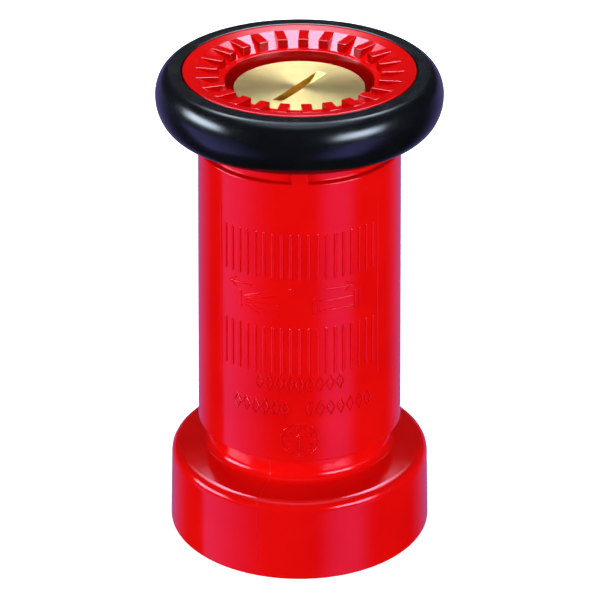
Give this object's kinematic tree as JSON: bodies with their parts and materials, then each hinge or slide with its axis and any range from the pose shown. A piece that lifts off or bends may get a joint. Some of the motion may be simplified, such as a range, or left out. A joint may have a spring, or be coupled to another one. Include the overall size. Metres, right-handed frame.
{
  "type": "fire hose nozzle",
  "caption": "Adjustable fog nozzle for a fire hose: a twist barrel with a toothed mouth and rubber bumper winds over a threaded inlet body to open, shut and widen the spray.",
  "frame": {"origin": "centre of the inlet end face, which the nozzle stands on", "axes": "+Z along the waterway, from the hose end towards the spray; -Y is the front of the barrel, with its index lug and markings"},
  "size_m": [0.0798, 0.0798, 0.1421],
  "materials": {
    "red_plastic": "glossy moulded polycarbonate",
    "black_rubber": "satin moulded rubber",
    "brass": "turned, pale",
    "stainless": "bright"
  },
  "bodies": {
    "inlet": {"inlet_body": "red_plastic", "hose_gasket": "black_rubber", "rear_o_ring": "black_rubber", "front_o_ring": "black_rubber", "spider": "brass", "spider_clip": "stainless", "baffle_stem": "brass", "seat_washer": "black_rubber", "seat_retainer": "brass", "retainer_nut": "brass", "stem_lock_washer": "stainless", "stem_lock_nut": "brass"},
    "wiper": {"wiper_ring": "black_rubber"},
    "barrel": {"barrel": "red_plastic", "bumper": "black_rubber"}
  },
  "joints": [
    {"name": "barrel_travel", "type": "slide", "parent": "inlet", "child": "wiper", "axis": [0, 0, 1], "range_m": [-0.005, 0.006]},
    {"name": "barrel_turn", "type": "hinge", "parent": "wiper", "child": "barrel", "pos_m": [0, 0, 0.08], "axis": [0, 0, 1], "range_deg": [-150, 180]}
  ],
  "couplings": [
    {"joint": "barrel_travel", "follows": "barrel_turn", "m_per_rad": 0.0019099}
  ]
}
